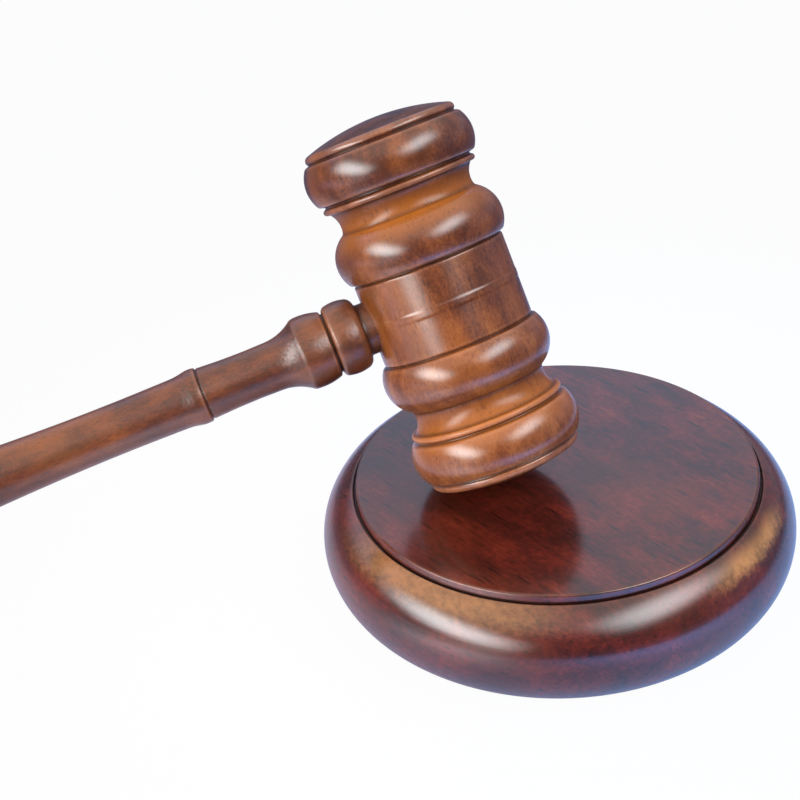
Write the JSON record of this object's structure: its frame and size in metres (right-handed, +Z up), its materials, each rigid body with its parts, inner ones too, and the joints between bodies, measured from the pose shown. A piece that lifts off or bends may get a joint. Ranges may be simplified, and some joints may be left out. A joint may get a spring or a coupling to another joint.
{
  "type": "gavel with sounding block",
  "caption": "Turned wooden gavel with a beaded head and slim handle, leaning on its round sounding block with a half-round rim and felt base.",
  "frame": {"origin": "on the table, under the middle of the sounding block's felt", "axes": "+Z up; the handle runs out from the head towards -X, seen from above"},
  "size_m": [0.3329, 0.1016, 0.1042],
  "materials": {
    "block_wood": "dark mahogany stain under clear gloss lacquer",
    "felt": "dark green wool felt",
    "head_wood": "red-brown hardwood under clear gloss lacquer",
    "handle_wood": "red-brown hardwood under clear gloss lacquer"
  },
  "bodies": {
    "block": {"sound_block": "block_wood", "base_felt": "felt"},
    "gavel": {"gavel_head": "head_wood", "gavel_handle": "handle_wood"}
  },
  "joints": [
    {"name": "gavel_lift", "type": "slide", "parent": "block", "child": "gavel", "axis": [0, 0, 1], "range_m": [0, 0.15]}
  ]
}
